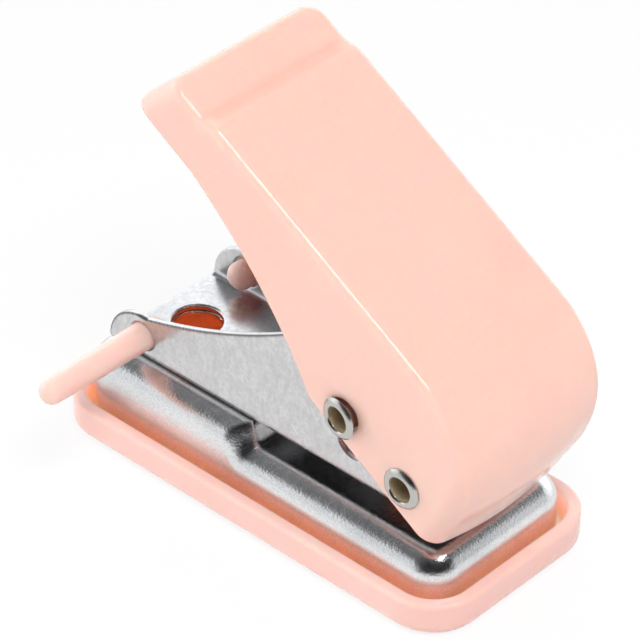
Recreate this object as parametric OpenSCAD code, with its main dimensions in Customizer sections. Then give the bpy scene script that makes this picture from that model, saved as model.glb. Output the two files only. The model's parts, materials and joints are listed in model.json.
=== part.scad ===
// Single hole punch with a lever handle, a steel channel frame, a pressed base and a chip tray.
// Millimetres. Origin under the middle of the tray, +X to the pivot end, -Y to the side seen first, +Z up.

/* [Chip tray] */
// Length of the tray
tray_length = 86.6; // [80:0.2:100]
// Width of the tray
tray_width = 40; // [37:0.2:50]
// Height of the rim above the table
tray_height = 6.4; // [5:0.1:9]
// Corner radius of the tray, seen from above
tray_corner = 8.8; // [8:0.1:11]
// Thickness of the rim
tray_wall = 2.3; // [1.6:0.1:2.6]
// Thickness of the floor
tray_floor = 1.4; // [1:0.1:2]
// Rounding under the outer edge
tray_foot_round = 2.2; // [1:0.1:2.4]
// Rounding of the rim's outer top edge
tray_rim_round = 0.6; // [0.3:0.1:1]
// Height of the inner rib that holds the pan
rib_height = 2; // [1:0.1:3]
// Thickness of the inner rib
rib_wall = 1.2; // [0.8:0.1:1.6]

/* [Base pan] */
// Gap between the tray's rim and the pan
pan_gap = 1.4; // [0.8:0.1:1.8]
// Sheet thickness of the pan
pan_sheet = 1; // [0.6:0.1:1.4]
// Height of the front deck above the table
deck_height = 12.3; // [11:0.1:15]
// Height of the paper slot
slot_height = 3.8; // [2.6:0.1:5]
// Depth of the paper slot behind the hole
throat = 21; // [16:0.2:24]
// Corner radius of the pan, seen from above
pan_corner = 5.5; // [5.1:0.1:7]
// Radius of the rolled shoulder
shoulder = 4.5; // [3:0.1:5]
// Rounding of the step between the two decks
step_round = 1.8; // [1:0.1:2.2]

/* [Frame] */
// Outer width of the channel
frame_width = 25.7; // [23:0.1:27]
// Sheet thickness of the channel
frame_sheet = 1.2; // [0.8:0.1:1.6]
// Inner bend radius of the channel
bend = 1; // [0.5:0.1:2]
// Distance from the punch to the rear holes
rear_hole_reach = 47.2; // [44:0.2:50]
// Radius of the rounded rear ears
ear_round = 7.8; // [7:0.1:9]
// Height of the ears above the web's underside
ear_height = 9; // [8.6:0.1:11]
// Flat top of the ears in front of the side pegs
ear_flat = 1.2; // [0.4:0.1:3]
// Radius of the round hole in the web
web_hole_r = 4.3; // [3:0.1:5]
// Distance from the punch back to the crest of the walls
crest_reach = 13.5; // [11:0.1:16]
// Rounding of the crest's two corners
crest_round = 3.4; // [2:0.1:5]
// How far the walls' top edge sags below a straight line
wall_dip = 1.6; // [0.4:0.1:2.4]
// Wall left above the guide slot
slot_land = 3.4; // [2:0.1:5]
// Wall left in front of the pivot
front_land = 4.1; // [3.8:0.1:4.3]

/* [Lever] */
// Distance of the pivot from the origin
pivot_x = 32.4; // [30:0.1:34]
// Height of the pivot above the web's underside
pivot_rise = 8.9; // [8:0.1:10]
// Distance between the two rivets
drive_arm = 14.5; // [13:0.1:15.5]
// Angle of the handle when it stands open
open_angle = 31.2; // [26:0.2:33]

/* [Handle] */
// Wall of the handle shell
handle_wall = 2; // [1.4:0.1:2.4]
// Room between the channel and the handle's inner face
handle_side_room = 1.7; // [1:0.1:2.5]
// Height of the top above the pivot
handle_rise = 20.3; // [18:0.1:23]
// Depth of the skirt below the pivot
handle_skirt = 4.2; // [4:0.1:4.6]
// How much deeper the skirt is at the nose
skirt_fall = 0.7; // [0.2:0.1:0.9]
// Reach from the pivot to the free end
handle_reach = 72.3; // [68:0.1:80]
// Reach from the pivot to the front of the skirt
nose_reach = 11.2; // [11:0.1:12.4]
// Lean of the front face
nose_lean = 1; // [0.5:0.5:3]
// Bow of the front face, seen from above
nose_bow = 1.8; // [0.6:0.1:2.1]
// Rounding of the nose between the top and the front
nose_round = 17.6; // [15:0.2:19]
// Length of the skirt behind the pivot
skirt_length = 20.5; // [18.6:0.1:24]
// Reach from the pivot to the rear end of the arched lower edge
arch_reach = 58; // [52:0.2:62]
// Bow of the arched lower edge
arch_bow = 2.1; // [1:0.1:3]
// Rounding where the skirt turns into the arch
arch_round = 2; // [1:0.1:2.6]
// Depth of the shell at the free end
grip_depth = 9.8; // [8:0.1:11]
// Fall of the lower edge from the free end to the arch
grip_fall = 0.15; // [0.05:0.05:1]
// Lean of the free end's face
grip_lean = 3; // [0.5:0.1:4]
// Rounding of the free end's edges
grip_round = 0.8; // [0.4:0.1:2]
// Length of the thumb pad at the free end
pad_length = 7.7; // [6:0.1:10]
// Drop from the top to the thumb pad
pad_drop = 1.2; // [0.6:0.1:1.8]
// Length of the slope down to the thumb pad
pad_slope = 5; // [4:0.1:8]
// Rounding of the thumb pad's two bends
pad_round = 9; // [3:0.5:12]
// Corner radius at the nose, seen from above
nose_corner = 3; // [2:0.1:4]
// Corner radius at the free end, seen from above
grip_corner = 3.3; // [2.6:0.1:6]
// Rounding of the long top edges
crease_round = 1.2; // [0.6:0.1:2]
// Radius of the bosses inside, round the rivets
boss_r = 4; // [3.6:0.05:4.2]

/* [Rivets] */
// Outer radius of the rivet barrels
barrel_r = 2.6; // [2.2:0.05:2.8]
// Bore radius of the rivets
rivet_bore_r = 2.2; // [1.6:0.05:2.2]
// Radius of the rolled flanges
flange_r = 3.55; // [3.3:0.05:4]
// Thickness of the rolled flanges
flange_t = 0.7; // [0.65:0.05:1]
// Rounding of the rolled flanges
flange_round = 0.32; // [0.1:0.02:0.32]
// How far the drive rivet's flanges stand off the handle
drive_stand_off = 0.9; // [0.1:0.1:1.5]
// Running clearance of the hinge
hinge_clearance = 0.05; // [0.02:0.01:0.1]
// Loose clearance of the drive rivet in the handle
drive_clearance = 0.45; // [0.1:0.05:0.6]

/* [Punch] */
// Radius of the punch and so of the hole
punch_r = 3; // [2.5:0.05:3.2]
// Radius of the punch's head
head_r = 5.2; // [5.1:0.05:6]
// Thickness of the punch's head
head_t = 1.2; // [0.8:0.1:1.6]
// How far the tip is drawn back into the web
tip_set_back = 0.4; // [0.2:0.1:1]
// Hollow of the cutting tip
tip_hollow = 0.9; // [0.4:0.1:1.4]
// Running clearance of the punch in its guide and die
punch_clearance = 0.04; // [0.02:0.01:0.1]
// Outer radius of the guide bush
bush_r = 3.8; // [3.6:0.05:3.9]
// Height of the guide bush above the web
bush_height = 2.8; // [1.5:0.1:3]
// Outer radius of the die ring
die_r = 5.5; // [4.5:0.1:6.5]
// Thickness of the die ring
die_t = 1.8; // [1.6:0.1:2.4]
// Width of the die ring's lip under the deck
die_lip = 1; // [0.6:0.1:1.5]

/* [Return spring] */
// Mean radius of the coil
spring_r = 4.6; // [4.5:0.05:4.7]
// Wire radius
wire_r = 0.35; // [0.3:0.01:0.36]
// Number of turns
spring_turns = 4; // [3:0.5:4]

/* [Side pegs] */
// Radius of a peg in its ear
peg_r = 2.5; // [2:0.05:3]
// Radius of a peg at its outer end
peg_tip_r = 2.15; // [1.6:0.05:2.4]
// Height of the pegs above the web's underside
peg_rise = 4.9; // [4.4:0.1:5.4]
// Reach of a peg from the middle plane
peg_reach = 35; // [28:0.2:40]
// How far a peg stands into the channel
peg_inside = 3.3; // [2:0.1:4.5]
// Rounding of the punched edge of an ear hole
ear_hole_round = 0.6; // [0.3:0.05:0.8]

/* [Base rivets] */
// Distance of the base rivets from the paper stop
base_rivet_back = 10; // [7:0.2:14]
// Distance between the two base rivets
base_rivet_pitch = 14; // [12:0.2:15]
// Shank radius of a base rivet
base_rivet_r = 1.5; // [1:0.1:1.8]
// Head radius of a base rivet
base_head_r = 2.8; // [2.4:0.1:3.2]
// Head height of a base rivet
base_head_h = 1.2; // [0.8:0.1:1.6]

/* [Clearances] */
// Gap between pieces that move past each other
running_gap = 0.3; // [0.2:0.05:0.5]
// Gap between pieces that rest on each other and move
rest_gap = 0.1; // [0.05:0.05:0.2]
// Gap of a pressed or staked joint
press_gap = 0.02; // [0.01:0.01:0.05]

/* [Hidden] */
$fn = 64;
ARC_STEPS = 8;
BOW_STEPS = 10;
SPRING_RINGS = 8;
WIRE_SIDES = 6;
CUT = 1;
FAR = 200;
PEG_DOME = 0.85;

PINK = [0.99, 0.8, 0.73];
CHROME = [0.78, 0.79, 0.81];
STEEL = [0.66, 0.67, 0.68];
NICKEL = [0.74, 0.72, 0.66];

// Pan, fitted into the tray
pan_length = tray_length - 2 * (tray_wall + pan_gap);
pan_width = tray_width - 2 * (tray_wall + pan_gap);
pan_foot = tray_floor + rest_gap;
web_z = deck_height + slot_height;

// Lever geometry
pivot_z = web_z + pivot_rise;
stroke = drive_arm * sin(open_angle);
drive_x = pivot_x - drive_arm * cos(open_angle);
drive_z = pivot_z + stroke;
punch_x = pivot_x - drive_arm * (1 + cos(open_angle)) / 2;
stop_x = punch_x - throat;
rear_hole_x = punch_x - rear_hole_reach;
frame_half = frame_width / 2;
handle_half = frame_half + handle_side_room + handle_wall;
frame_front_x = pivot_x + front_land;

// Nose of the handle, its front bowed about a far upright axis
nose_bow_r = (pow(handle_half, 2) + pow(nose_bow, 2)) / (2 * nose_bow);
nose_peak_x = nose_reach + nose_bow;
nose_side_x = nose_reach - nose_bow;

// Guide slot in the channel's walls, wide enough for the rivet's arc
slot_r = barrel_r + (drive_x - pivot_x + drive_arm) / 2 + 2 * running_gap;
slot_side = sqrt(pow(slot_r, 2) - pow(drive_x - punch_x, 2));
slot_top_z = drive_z + barrel_r + running_gap - slot_side;
slot_low_z = pivot_z;
wall_top_z = slot_top_z + slot_r + slot_land;

// Punch and spring
web_top_z = web_z + frame_sheet;
head_top_z = drive_z - barrel_r - rest_gap;
spring_low_z = web_top_z + rest_gap / 2;
spring_top_z = head_top_z - head_t - rest_gap / 2;

// Points of a rounded corner at b, between a and c
function unit(v) = v / norm(v);
function corner(a, b, c, r) =
    let (
        u = unit(a - b),
        w = unit(c - b),
        half = acos(u * w) / 2,
        middle = b + unit(u + w) * r / sin(half),
        from = b + u * r / tan(half) - middle,
        to = b + w * r / tan(half) - middle,
        first = atan2(from.y, from.x),
        turn = (atan2(to.y, to.x) - first + 540) % 360 - 180
    )
    [for (i = [0 : ARC_STEPS])
        let (a = first + turn * i / ARC_STEPS) middle + r * [cos(a), sin(a)]];

// Outline through [x, y, radius] points
function flat(p) = [p.x, p.y];
function outline(p) = [
    for (i = [0 : len(p) - 1])
        let (before = flat(p[(i + len(p) - 1) % len(p)]), after = flat(p[(i + 1) % len(p)]))
        each p[i].z > 0 ? corner(before, flat(p[i]), after, p[i].z) : [flat(p[i])]
];

// Points of a bowed edge between two points, without its ends
function bow(from, to, rise) =
    let (along = to - from, side = unit([-along.y, along.x]))
    [for (i = [1 : BOW_STEPS - 1])
        let (t = i / BOW_STEPS, p = from + along * t + side * 4 * rise * t * (1 - t))
        [p.x, p.y, 0]];

// Extrusions of an outline across Y, along X and up Z
module across(width) {
    rotate([90, 0, 0]) linear_extrude(width, center = true) children();
}

module along(length) {
    rotate([90, 0, 90]) linear_extrude(length, center = true) children();
}

module upright(from, to) {
    translate([0, 0, from]) linear_extrude(to - from) children();
}

// Rectangle between two heights with rounded lower and upper corners
module soft_rect(width, low, high, low_r, high_r) {
    translate([-width / 2, low + low_r]) square([width, high - low - low_r - high_r]);
    translate([-width / 2 + low_r, low]) square([width - 2 * low_r, high - low - high_r]);
    translate([-width / 2 + high_r, low + low_r]) square([width - 2 * high_r, high - low - low_r]);
    for (side = [-1, 1]) {
        if (low_r > 0) translate([side * (width / 2 - low_r), low + low_r]) circle(low_r);
        if (high_r > 0) translate([side * (width / 2 - high_r), high - high_r]) circle(high_r);
    }
}

// Block with round plan corners and rounded lower and upper edges
module soft_block(length, width, low, high, plan_r, low_r, high_r) {
    along(length - 2 * plan_r) soft_rect(width, low, high, low_r, high_r);
    across(width - 2 * plan_r) soft_rect(length, low, high, low_r, high_r);
    for (x = [-1, 1], y = [-1, 1])
        translate([x * (length / 2 - plan_r), y * (width / 2 - plan_r), 0])
            rotate_extrude()
                intersection() {
                    soft_rect(2 * plan_r, low, high, low_r, high_r);
                    translate([0, low]) square([plan_r, high - low]);
                }
}

// Round bar across Y through a point
module bar(x, z, r, length) {
    translate([x, 0, z]) rotate([90, 0, 0]) cylinder(r = r, h = length, center = true);
}

module chip_tray() {
    rib_length = pan_length - 2 * (pan_sheet + rest_gap);
    rib_width = pan_width - 2 * (pan_sheet + rest_gap);
    rib_corner = pan_corner - pan_sheet - rest_gap;
    color(PINK) {
        difference() {
            soft_block(tray_length, tray_width, 0, tray_height, tray_corner, tray_foot_round, tray_rim_round);
            soft_block(tray_length - 2 * tray_wall, tray_width - 2 * tray_wall, tray_floor, tray_height + CUT,
                tray_corner - tray_wall, 0, 0);
        }
        difference() {
            soft_block(rib_length, rib_width, tray_floor, tray_floor + rib_height, rib_corner, 0, 0);
            soft_block(rib_length - 2 * rib_wall, rib_width - 2 * rib_wall, tray_floor,
                tray_floor + rib_height + CUT, rib_corner - rib_wall, 0, 0);
        }
    }
}

// Solid of the pan's two decks, drawn in by a sheet thickness for its inside
module pan_form(inset, foot) {
    step = [
        [-FAR, 0, 0],
        [stop_x + step_round - inset, 0, 0],
        [stop_x + step_round - inset, deck_height - inset, 0],
        [stop_x - inset, deck_height - inset, step_round],
        [stop_x - inset, web_z - inset, step_round],
        [stop_x - 2 * shoulder, web_z - inset, 0],
        [stop_x - 2 * shoulder, FAR, 0],
        [-FAR, FAR, 0]
    ];
    module deck(top) {
        soft_block(pan_length - 2 * inset, pan_width - 2 * inset, foot, top - inset, pan_corner - inset, 0,
            shoulder - inset);
    }
    deck(deck_height);
    intersection() {
        deck(web_z);
        across(FAR) polygon(outline(step));
    }
}

module base_pan() {
    color(CHROME) difference() {
        pan_form(0, pan_foot);
        pan_form(pan_sheet, pan_foot - CUT);
        translate([punch_x, 0, 0]) cylinder(r = die_r + press_gap, h = web_z);
        translate([rear_hole_x, 0, 0]) cylinder(r = web_hole_r, h = web_z + CUT);
        base_rivet_places() cylinder(r = base_rivet_r + press_gap, h = web_z + CUT);
    }
}

module base_rivet_places() {
    for (side = [-1, 1])
        translate([stop_x - base_rivet_back, side * base_rivet_pitch / 2, 0]) children();
}

// Side view of the channel's walls, with the web along the bottom
function wall_outline() =
    let (
        rear_x = rear_hole_x - ear_round,
        ear_z = web_z + ear_height,
        ear_top = [rear_hole_x + ear_flat, ear_z],
        crest = [punch_x - crest_reach, wall_top_z],
        crest_front_x = punch_x + slot_r + slot_land / 2
    )
    outline(concat(
        [[rear_x, web_z, 0], [rear_x, ear_z, ear_round], [ear_top.x, ear_top.y, 0]],
        bow(ear_top, crest, -wall_dip),
        [
            [crest.x, crest.y, crest_round],
            [crest_front_x, wall_top_z, crest_round],
            [frame_front_x, pivot_z + front_land, front_land],
            [frame_front_x, web_z, 0]
        ]
    ));

// End view of the bent sheet
function channel_outline() =
    let (outer = bend + frame_sheet, inner_half = frame_half - frame_sheet)
    outline([
        [-frame_half, wall_top_z, 0],
        [-frame_half, web_z, outer],
        [frame_half, web_z, outer],
        [frame_half, wall_top_z, 0],
        [inner_half, wall_top_z, 0],
        [inner_half, web_top_z, bend],
        [-inner_half, web_top_z, bend],
        [-inner_half, wall_top_z, 0]
    ]);

// Round-edged hole for a side peg, widening to both faces of the ear
module ear_hole() {
    r = peg_r + press_gap;
    flare = ear_hole_round;
    bar(rear_hole_x, web_z + peg_rise, r, FAR);
    for (side = [-1, 1])
        translate([rear_hole_x, side * frame_half, web_z + peg_rise]) rotate([side * 90, 0, 0])
            rotate_extrude() difference() {
                translate([0, -CUT]) square([r + flare, flare + CUT]);
                translate([r + flare, flare]) circle(flare);
            }
}

module frame() {
    color(STEEL) difference() {
        intersection() {
            along(FAR) polygon(channel_outline());
            across(frame_width) polygon(wall_outline());
        }
        ear_hole();
        bar(pivot_x, pivot_z, barrel_r + press_gap, FAR);
        for (z = [slot_low_z, slot_top_z]) bar(punch_x, z, slot_r, FAR);
        translate([punch_x, 0, (slot_low_z + slot_top_z) / 2])
            cube([2 * slot_r, FAR, slot_top_z - slot_low_z], center = true);
        translate([punch_x, 0, 0]) cylinder(r = bush_r + press_gap, h = web_top_z + CUT);
        translate([rear_hole_x, 0, 0]) cylinder(r = web_hole_r, h = web_top_z + CUT);
        base_rivet_places() cylinder(r = base_rivet_r + press_gap, h = web_top_z + CUT);
    }
}

// From the handle's level frame at the pivot to its place when open
module at_handle() {
    translate([pivot_x, 0, pivot_z]) rotate([0, open_angle, 0]) children();
}

// Side view of the handle, level, with the pivot at the origin
function nose_x(z) = nose_reach - (z + handle_skirt) * tan(nose_lean);
function handle_outline() =
    let (
        skirt_slope = skirt_fall / (skirt_length + nose_reach),
        peak_low_z = -handle_skirt - skirt_slope * (skirt_length + nose_peak_x),
        pad_z = handle_rise - pad_drop,
        grip_low_z = pad_z - grip_depth,
        pad_rear_x = grip_lean - handle_reach,
        arch_from = [-skirt_length, -handle_skirt],
        arch_to = [-arch_reach, grip_low_z - grip_fall]
    )
    outline(concat(
        [[nose_peak_x, peak_low_z, 0], [arch_from.x, arch_from.y, arch_round]],
        bow(arch_from, arch_to, -arch_bow),
        [
            [arch_to.x, arch_to.y, 0],
            [-handle_reach, grip_low_z, grip_round],
            [pad_rear_x, pad_z, grip_round],
            [pad_rear_x + pad_length, pad_z, pad_round],
            [pad_rear_x + pad_length + pad_slope, handle_rise, pad_round],
            [nose_peak_x, handle_rise, 0]
        ]
    ));

// Side view of the hollow inside the handle, open below
function hollow_outline() =
    let (
        top_z = handle_rise - handle_wall,
        pad_z = top_z - pad_drop,
        rear_x = grip_lean - handle_reach + handle_wall,
        low_z = -handle_skirt - handle_wall,
        rear_slope = grip_lean / grip_depth
    )
    outline([
        [nose_peak_x, low_z, 0],
        [rear_x - rear_slope * (pad_z - low_z), low_z, 0],
        [rear_x, pad_z, 0],
        [rear_x + pad_length - handle_wall, pad_z, 0],
        [rear_x + pad_length - handle_wall + pad_slope, top_z, 0],
        [nose_peak_x, top_z, 0]
    ]);

// Body whose front is the bowed nose, drawn in by a wall for the hollow
module nose_turn(inset) {
    low_z = -2 * handle_skirt;
    top_z = handle_rise - inset;
    centre_x = nose_reach - nose_bow_r;
    front_wall = inset / cos(nose_lean);
    translate([centre_x, 0, 0]) rotate_extrude() polygon(outline([
        [0, low_z, 0],
        [nose_x(low_z) - front_wall - centre_x, low_z, 0],
        [nose_x(top_z) - front_wall - centre_x, top_z, nose_round - inset],
        [0, top_z, 0]
    ]));
}

// Seen from above, with different corners at the nose and at the free end
module plan(front, rear, half, front_r, rear_r) {
    polygon(outline([
        [front, -half, front_r],
        [nose_peak_x, 0, 0],
        [front, half, front_r],
        [rear, half, rear_r],
        [rear, -half, rear_r]
    ]));
}

module handle() {
    boss_face = frame_half + running_gap;
    color(PINK) at_handle() difference() {
        union() {
            difference() {
                intersection() {
                    across(2 * handle_half) polygon(handle_outline());
                    upright(-FAR, FAR)
                        plan(nose_side_x, -handle_reach, handle_half, nose_corner, grip_corner);
                    nose_turn(0);
                    along(FAR) soft_rect(2 * handle_half, -FAR, handle_rise, 0, crease_round);
                }
                intersection() {
                    across(FAR) polygon(hollow_outline());
                    upright(-FAR, FAR)
                        plan(nose_side_x, -handle_reach + handle_wall, handle_half - handle_wall, 0,
                            grip_corner - handle_wall);
                    nose_turn(handle_wall);
                }
            }
            for (x = [0, -drive_arm], side = [-1, 1])
                translate([x, side * (boss_face + handle_half - handle_wall / 2) / 2, 0]) rotate([90, 0, 0])
                    cylinder(r = boss_r, h = handle_half - handle_wall / 2 - boss_face, center = true);
        }
        bar(0, 0, barrel_r + hinge_clearance, FAR);
        bar(-drive_arm, 0, barrel_r + drive_clearance, FAR);
    }
}

// Hollow rivet across Y with a rolled flange at each end
module hollow_rivet(inside_flanges) {
    end = inside_flanges / 2 + flange_t;
    rotate([90, 0, 0]) rotate_extrude() polygon(outline([
        [rivet_bore_r, -end, flange_round],
        [flange_r, -end, flange_round],
        [flange_r, flange_t - end, flange_round],
        [barrel_r, flange_t - end, 0],
        [barrel_r, end - flange_t, 0],
        [flange_r, end - flange_t, flange_round],
        [flange_r, end, flange_round],
        [rivet_bore_r, end, flange_round]
    ]));
}

module pivot_rivet() {
    color(NICKEL) translate([pivot_x, 0, pivot_z]) hollow_rivet(2 * (handle_half + rest_gap));
}

module drive_rivet() {
    color(NICKEL) translate([drive_x, 0, drive_z]) hollow_rivet(2 * (handle_half + drive_stand_off));
}

module punch_pin() {
    tip_z = web_z + tip_set_back;
    hollow_r = (pow(punch_r, 2) + pow(tip_hollow, 2)) / (2 * tip_hollow);
    color(STEEL) difference() {
        translate([punch_x, 0, 0]) {
            upright(tip_z, head_top_z) circle(punch_r);
            upright(head_top_z - head_t, head_top_z) circle(head_r);
        }
        bar(punch_x, tip_z + tip_hollow - hollow_r, hollow_r, FAR);
    }
}

// Coil as one tube, its rings square to the wire
function coil_point(a) =
    [spring_r * cos(a), spring_r * sin(a), spring_low_z + wire_r + coil_pitch() * a / 360];
function coil_pitch() = (spring_top_z - spring_low_z - 2 * wire_r) / spring_turns;
function coil_ring(a) =
    let (
        out = [cos(a), sin(a), 0],
        tangent = unit([-sin(a), cos(a), coil_pitch() / (2 * PI * spring_r)]),
        up = cross(tangent, -out)
    )
    [for (j = [0 : WIRE_SIDES - 1])
        let (b = 360 * j / WIRE_SIDES) coil_point(a) + wire_r * (out * cos(b) + up * sin(b))];

module return_spring() {
    rings = spring_turns * SPRING_RINGS;
    points = [for (i = [0 : rings]) each coil_ring(360 * i / SPRING_RINGS)];
    last = rings * WIRE_SIDES;
    skin = [for (i = [0 : rings - 1], j = [0 : WIRE_SIDES - 1])
        let (k = (j + 1) % WIRE_SIDES, a = i * WIRE_SIDES, b = a + WIRE_SIDES)
        each [[a + j, b + k, a + k], [a + j, b + j, b + k]]];
    ends = [for (j = [1 : WIRE_SIDES - 2]) each [[0, j, j + 1], [last, last + j + 1, last + j]]];
    gap = min([for (i = [0 : 1 : (spring_turns - 1) * SPRING_RINGS])
        norm(coil_point(360 * (i / SPRING_RINGS + 1)) - coil_point(360 * i / SPRING_RINGS))]) - 2 * wire_r;
    echo(least_gap_between_turns = gap);
    color(STEEL) translate([punch_x, 0, 0]) polyhedron(points, concat(skin, ends));
}

module guide_bush() {
    color(NICKEL) translate([punch_x, 0, 0]) difference() {
        upright(web_z, web_top_z + bush_height) circle(bush_r);
        upright(web_z - CUT, web_top_z + bush_height + CUT) circle(punch_r + punch_clearance);
    }
}

module die_ring() {
    color(STEEL) translate([punch_x, 0, 0]) difference() {
        union() {
            upright(deck_height - die_t, deck_height) circle(die_r);
            upright(deck_height - die_t, deck_height - pan_sheet - press_gap) circle(die_r + die_lip);
        }
        upright(deck_height - die_t - CUT, deck_height + CUT) circle(punch_r + punch_clearance);
    }
}

module base_rivets() {
    pan_under_z = web_z - pan_sheet - press_gap;
    web_over_z = web_top_z + press_gap;
    dome_r = (pow(base_head_r, 2) + pow(base_head_h, 2)) / (2 * base_head_h);
    color(STEEL) base_rivet_places() {
        upright(pan_under_z - base_head_h, web_over_z + base_head_h / 2) circle(base_rivet_r);
        upright(pan_under_z - base_head_h, pan_under_z) circle(base_head_r);
        intersection() {
            translate([0, 0, web_over_z + base_head_h - dome_r]) sphere(dome_r);
            upright(web_over_z, web_over_z + base_head_h) circle(base_head_r + CUT);
        }
    }
}

// Tapered peg with domed ends, standing out of an ear on one side
module side_peg(side) {
    inner = frame_half - frame_sheet - peg_inside;
    taper_from = frame_half + ear_hole_round;
    color(PINK) translate([rear_hole_x, 0, web_z + peg_rise]) rotate([side * -90, 0, 0])
        rotate_extrude() polygon(outline([
            [0, inner, 0],
            [peg_r, inner, peg_r * PEG_DOME],
            [peg_r, taper_from, 0],
            [peg_tip_r, peg_reach, peg_tip_r * PEG_DOME],
            [0, peg_reach, 0]
        ]));
}

module left_side_peg() {
    side_peg(-1);
}

module right_side_peg() {
    side_peg(1);
}

chip_tray();
base_pan();
frame();
handle();
pivot_rivet();
drive_rivet();
punch_pin();
return_spring();
guide_bush();
die_ring();
base_rivets();
left_side_peg();
right_side_peg();
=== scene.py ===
"""Looks of the single hole punch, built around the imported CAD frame.

Sizes are in millimetres in the row frame and become metres where a mesh is made. The moulded and pressed
pieces are described as distance fields, negative inside, and meshed on a grid whose points are then moved
onto the exact surface.
"""
import json
import math

import bpy
import numpy as np
from mathutils import Matrix, Vector


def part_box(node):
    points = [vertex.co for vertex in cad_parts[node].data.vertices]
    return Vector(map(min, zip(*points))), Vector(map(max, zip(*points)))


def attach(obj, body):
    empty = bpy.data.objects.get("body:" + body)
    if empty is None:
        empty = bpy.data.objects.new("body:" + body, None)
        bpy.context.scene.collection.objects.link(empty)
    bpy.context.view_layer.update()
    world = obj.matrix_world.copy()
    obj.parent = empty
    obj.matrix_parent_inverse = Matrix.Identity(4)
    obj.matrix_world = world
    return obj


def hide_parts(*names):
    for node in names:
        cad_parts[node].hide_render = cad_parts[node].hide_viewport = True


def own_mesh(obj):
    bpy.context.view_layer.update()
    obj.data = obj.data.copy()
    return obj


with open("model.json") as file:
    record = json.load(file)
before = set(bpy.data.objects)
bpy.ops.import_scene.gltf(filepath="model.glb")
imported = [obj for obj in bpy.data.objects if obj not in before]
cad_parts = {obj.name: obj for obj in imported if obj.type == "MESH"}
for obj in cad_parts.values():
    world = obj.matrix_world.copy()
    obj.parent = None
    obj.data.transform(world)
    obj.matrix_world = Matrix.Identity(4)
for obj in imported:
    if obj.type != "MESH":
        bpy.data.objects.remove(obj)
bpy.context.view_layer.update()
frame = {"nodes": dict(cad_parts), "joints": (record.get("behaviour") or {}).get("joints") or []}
MM = 0.001
JOINTS = {joint["name"]: joint for joint in frame["joints"]}


def node_box(node):
    """Lowest and highest corner of a CAD node in millimetres."""
    low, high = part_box(node)
    return np.array(low) / MM, np.array(high) / MM


def node_middle(node):
    """Middle of a CAD node's box in millimetres."""
    low, high = node_box(node)
    return (low + high) / 2


# Places taken from the frame
PIVOT = np.array(JOINTS["handle_swing"]["pos_m"]) / MM
OPEN_ANGLE = math.radians(JOINTS["handle_swing"]["range_deg"][1])
TRAY_LOW, TRAY_HIGH = node_box("chip_tray")
PAN_LOW, PAN_HIGH = node_box("base_pan")
CHANNEL_LOW, CHANNEL_HIGH = node_box("frame")
SPRING_LOW, SPRING_HIGH = node_box("return_spring")
PEG_LOW, PEG_HIGH = node_box("right_side_peg")
HANDLE_HALF = node_box("handle")[1][1]
PIVOT_OUT = node_box("pivot_rivet")[1][1]
DRIVE_OUT = node_box("drive_rivet")[1][1]
PUNCH_X = node_middle("punch_pin")[0]
RIVET_X = node_middle("base_rivets")[0]
DRIVE_X, _, DRIVE_Z = node_middle("drive_rivet")
DRIVE_ARM = math.hypot(DRIVE_X - PIVOT[0], DRIVE_Z - PIVOT[2])
PEG_X, _, PEG_Z = node_middle("right_side_peg")

# Meshing
GRID_MARGIN = 1.5
SNAP_ROUNDS = 4
SLOPE_REACH = 1e-3
LEAST_SLOPE = 1e-6
SHARP_EDGE = math.radians(40)
TRAY_STEP = 0.5
PAN_STEP = 0.45
CHANNEL_STEP = 0.29
HANDLE_STEP = 0.45
RIVET_SIDES = 96
PEG_SIDES = 64
WIRE_SIDES = 14
ARC_STEPS = 12
LIP_STEPS = 6
COIL_STEPS = 40

# Chip tray
TRAY_CORNER = 8.8
TRAY_WALL = 2.3
TRAY_FLOOR = 1.4
TRAY_FOOT_ROUND = 2.2
TRAY_RIM_ROUND = 0.6
TRAY_POCKET_ROUND = 0.5
RIB_INSET = 1.1
RIB_WALL = 1.2
RIB_HEIGHT = 2.0
RIB_ROUND = 0.3

# Base pan
PAN_SHEET = 1.0
PAN_CORNER = 5.5
PAN_SHOULDER = 4.5
PAN_EDGE_ROUND = 0.2
DECK_DROP = 3.8
STEP_X = PUNCH_X - 21
STEP_LENGTH = 3.0
STEP_SPREAD = 3.8
STEP_SPREAD_INSET = 1.0
STEP_LEAD = 0.8
DIE_HOLE_R = 5.52

# Channel
SHEET = 1.2
SHEET_EDGE_ROUND = 0.4
BEND = 1.0
EAR_ROUND = 7.8
EAR_HEIGHT = 9.0
EAR_FLAT = 1.2
CREST_REACH = 13.5
CREST_ROUND = 3.4
CREST_FRONT = 5.95
WALL_DIP = 1.2
FRONT_LAND = 4.1
WEB_HOLE_R = 4.3
SLOT_R = 3.8
SLOT_TOP_LAND = 3.4
PIVOT_HOLE_R = 2.62
PEG_HOLE_R = 2.52
PEG_HOLE_ROUND = 0.6
BUSH_HOLE_R = 3.82
RIVET_Y = 7.0
RIVET_HOLE_R = 1.52

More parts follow.
